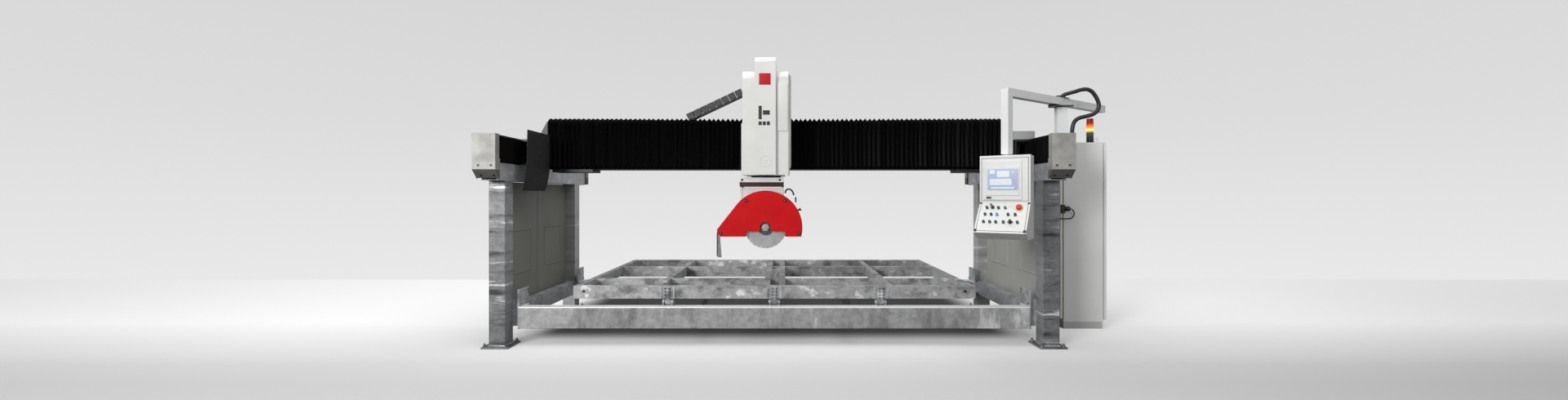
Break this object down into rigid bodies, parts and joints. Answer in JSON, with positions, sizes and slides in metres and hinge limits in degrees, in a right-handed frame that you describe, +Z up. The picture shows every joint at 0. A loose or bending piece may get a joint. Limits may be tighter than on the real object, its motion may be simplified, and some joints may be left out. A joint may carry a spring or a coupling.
{
  "type": "slab saw",
  "caption": "Bridge saw for stone slabs: travelling bridge on two runways, turning and tilting blade head, tilting grid table, swing-arm console and cabinet.",
  "frame": {"origin": "on the floor, midway between the four posts", "axes": "+X to the operator's right along the bridge, +Y to the rear along the runways, +Z up"},
  "size_m": [6.1685, 2.8704, 2.735],
  "materials": {
    "galvanised": "hot-dip galvanised, mottled",
    "bright_steel": "ground steel, oiled",
    "stainless": "brushed stainless sheet",
    "bellows_fabric": "matt coated fabric",
    "panel_paint": "textured powder coat",
    "arm_aluminium": "light grey powder coat",
    "black_rubber": "matt rubber",
    "cabinet_paint": "fine textured powder coat",
    "gear_grey": "machine enamel",
    "signal_lens": "clear tinted lenses on a black base",
    "black_plastic": "moulded, matt",
    "black_paint": "satin black enamel",
    "carriage_paint": "satin grey enamel",
    "white_paint": "satin off-white powder coat",
    "head_grey": "satin light grey enamel on castings",
    "guard_red": "gloss red paint",
    "blade_steel": "ground blade core, sintered segments",
    "console_paint": "satin light grey powder coat",
    "screen_glass": "display behind a clear front in a light bezel",
    "red_plastic": "moulded",
    "green_plastic": "moulded",
    "blue_plastic": "moulded"
  },
  "bodies": {
    "frame": {"posts": "galvanised", "runway_beams": "galvanised", "runway_racks": "bright_steel", "runway_end_caps": "stainless", "runway_bellows_front": "bellows_fabric", "runway_bellows_rear": "bellows_fabric", "crossbeams": "galvanised", "side_beams": "galvanised", "beam_brackets": "galvanised", "frame_bolts": "bright_steel", "side_panels": "panel_paint", "table_pivots": "galvanised", "console_mast": "arm_aluminium", "console_hose": "black_rubber", "cabinet_body": "cabinet_paint", "cabinet_components": "gear_grey", "signal_tower": "signal_lens", "cabinet_plug": "black_plastic", "cabinet_lead": "black_rubber"},
    "bridge": {"bridge_beam": "black_paint", "bridge_trolleys": "black_paint", "bridge_rails": "bright_steel", "bridge_bellows_left": "bellows_fabric", "bridge_bellows_right": "bellows_fabric", "rubber_flap": "black_rubber", "travel_motors": "gear_grey"},
    "pinion_left": {"drive_pinion_left": "bright_steel"},
    "pinion_right": {"drive_pinion_right": "bright_steel"},
    "carriage": {"carriage_plate": "carriage_paint", "head_cover": "white_paint", "column_cover": "white_paint", "lift_motor": "gear_grey", "cable_chain_boom": "black_plastic"},
    "screw": {"lift_screw": "bright_steel"},
    "ram": {"ram_column": "bright_steel", "slew_ring": "black_paint"},
    "turret": {"turret_fork": "head_grey"},
    "cutting_head": {"spindle_motor": "head_grey", "blade_guard": "guard_red", "guard_bolts": "black_plastic", "splash_strips": "black_rubber", "water_hose": "black_rubber"},
    "water_valve": {"valve_handle": "black_plastic"},
    "blade": {"blade": "blade_steel", "blade_flange": "bright_steel"},
    "table": {"table_rails": "galvanised", "table_cross_members": "galvanised"},
    "lift_barrels": {"lift_barrels": "black_paint"},
    "lift_rods": {"lift_rods": "bright_steel"},
    "console_arm": {"console_arm": "arm_aluminium"},
    "console": {"console_housing": "console_paint", "console_screen": "screen_glass"},
    "stop_button": {"emergency_stop": "red_plastic"},
    "start_button": {"green_button": "green_plastic"},
    "reset_button": {"blue_button": "blue_plastic"},
    "black_buttons": {"black_buttons": "black_plastic"},
    "selector": {"selector_switch": "black_plastic"},
    "joystick": {"joystick": "black_plastic"},
    "cabinet_door": {"cabinet_door": "cabinet_paint"},
    "door_handle": {"door_handle": "black_plastic"}
  },
  "joints": [
    {"name": "bridge_travel", "type": "slide", "parent": "frame", "child": "bridge", "axis": [0, -1, 0], "range_m": [-0.92, 0.32], "deforming": ["runway_bellows_front", "runway_bellows_rear"]},
    {"name": "pinion_left_spin", "type": "hinge", "parent": "bridge", "child": "pinion_left", "pos_m": [-2.599, -0.42, 1.787], "axis": [1, 0, 0], "range_deg": [-900, 320]},
    {"name": "pinion_right_spin", "type": "hinge", "parent": "bridge", "child": "pinion_right", "pos_m": [2.599, -0.42, 1.787], "axis": [1, 0, 0], "range_deg": [-900, 320]},
    {"name": "carriage_travel", "type": "slide", "parent": "bridge", "child": "carriage", "axis": [1, 0, 0], "range_m": [-1.7, 1.72], "deforming": ["bridge_bellows_left", "bridge_bellows_right"]},
    {"name": "head_lift", "type": "slide", "parent": "carriage", "child": "ram", "axis": [0, 0, 1], "range_m": [-0.33, 0], "deforming": ["splash_strips"]},
    {"name": "screw_spin", "type": "hinge", "parent": "carriage", "child": "screw", "pos_m": [-0.088, -0.455, 2], "axis": [0, 0, 1], "range_deg": [-6000, 10]},
    {"name": "head_turn", "type": "hinge", "parent": "ram", "child": "turret", "pos_m": [-0.088, -0.455, 1.55], "axis": [0, 0, 1], "range_deg": [-185, 185]},
    {"name": "blade_tilt", "type": "hinge", "parent": "turret", "child": "cutting_head", "pos_m": [-0.088, -0.455, 1.2], "axis": [1, 0, 0], "range_deg": [0, 45]},
    {"name": "water_valve_turn", "type": "hinge", "parent": "cutting_head", "child": "water_valve", "pos_m": [0.204, -0.645, 1.378], "axis": [0, -1, 0], "range_deg": [0, 90]},
    {"name": "blade_spin", "type": "hinge", "parent": "cutting_head", "child": "blade", "pos_m": [-0.088, -0.645, 1.091], "axis": [0, 1, 0], "continuous": true},
    {"name": "table_tilt", "type": "hinge", "parent": "frame", "child": "table", "pos_m": [0, -0.74, 0.392], "axis": [1, 0, 0], "range_deg": [0, 28]},
    {"name": "barrel_swing", "type": "hinge", "parent": "frame", "child": "lift_barrels", "pos_m": [0, -0.69, 0.215], "axis": [1, 0, 0], "range_deg": [0, 26]},
    {"name": "rod_stroke", "type": "slide", "parent": "lift_barrels", "child": "lift_rods", "axis": [0, 0.9258, 0.3779], "range_m": [0, 0.09]},
    {"name": "console_arm_swing", "type": "hinge", "parent": "frame", "child": "console_arm", "pos_m": [2.79, -0.617, 2.3], "axis": [0, 0, 1], "range_deg": [-15, 70], "deforming": ["console_hose"]},
    {"name": "console_swivel", "type": "hinge", "parent": "console_arm", "child": "console", "pos_m": [2.05812, -1.11813, 1.75], "axis": [0, 0, 1], "range_deg": [-60, 60]},
    {"name": "stop_press", "type": "slide", "parent": "console", "child": "stop_button", "axis": [0.3971, 0.6115, -0.6844], "range_m": [0, 0.004], "stiffness_N_per_m": 400},
    {"name": "start_press", "type": "slide", "parent": "console", "child": "start_button", "axis": [0.3971, 0.6115, -0.6844], "range_m": [0, 0.004], "stiffness_N_per_m": 400},
    {"name": "reset_press", "type": "slide", "parent": "console", "child": "reset_button", "axis": [0.3971, 0.6115, -0.6844], "range_m": [0, 0.004], "stiffness_N_per_m": 400},
    {"name": "black_press", "type": "slide", "parent": "console", "child": "black_buttons", "axis": [0.3971, 0.6115, -0.6844], "range_m": [0, 0.004], "stiffness_N_per_m": 400},
    {"name": "selector_turn", "type": "hinge", "parent": "console", "child": "selector", "pos_m": [1.9078, -1.18499, 1.29058], "axis": [-0.3971, -0.6115, 0.6844], "range_deg": [-90, 0]},
    {"name": "joystick_twist", "type": "hinge", "parent": "console", "child": "joystick", "pos_m": [1.98407, -1.36615, 1.17298], "axis": [-0.3971, -0.6115, 0.6844], "range_deg": [-20, 20], "stiffness_Nm_per_rad": 0.5},
    {"name": "door_swing", "type": "hinge", "parent": "frame", "child": "cabinet_door", "pos_m": [3.4865, 0.8075, 1], "axis": [0, 0, 1], "range_deg": [0, 110]},
    {"name": "handle_turn", "type": "hinge", "parent": "cabinet_door", "child": "door_handle", "pos_m": [3.48, -0.109, 0.99], "axis": [1, 0, 0], "range_deg": [0, 90]}
  ],
  "couplings": [
    {"joint": "pinion_left_spin", "follows": "bridge_travel", "rad_per_m": 16.667},
    {"joint": "pinion_right_spin", "follows": "bridge_travel", "rad_per_m": 16.667},
    {"joint": "screw_spin", "follows": "head_lift", "rad_per_m": 314.16},
    {"joint": "barrel_swing", "follows": "table_tilt", "ratio": 0.89634},
    {"joint": "rod_stroke", "follows": "table_tilt", "m_per_rad": 0.17226}
  ]
}
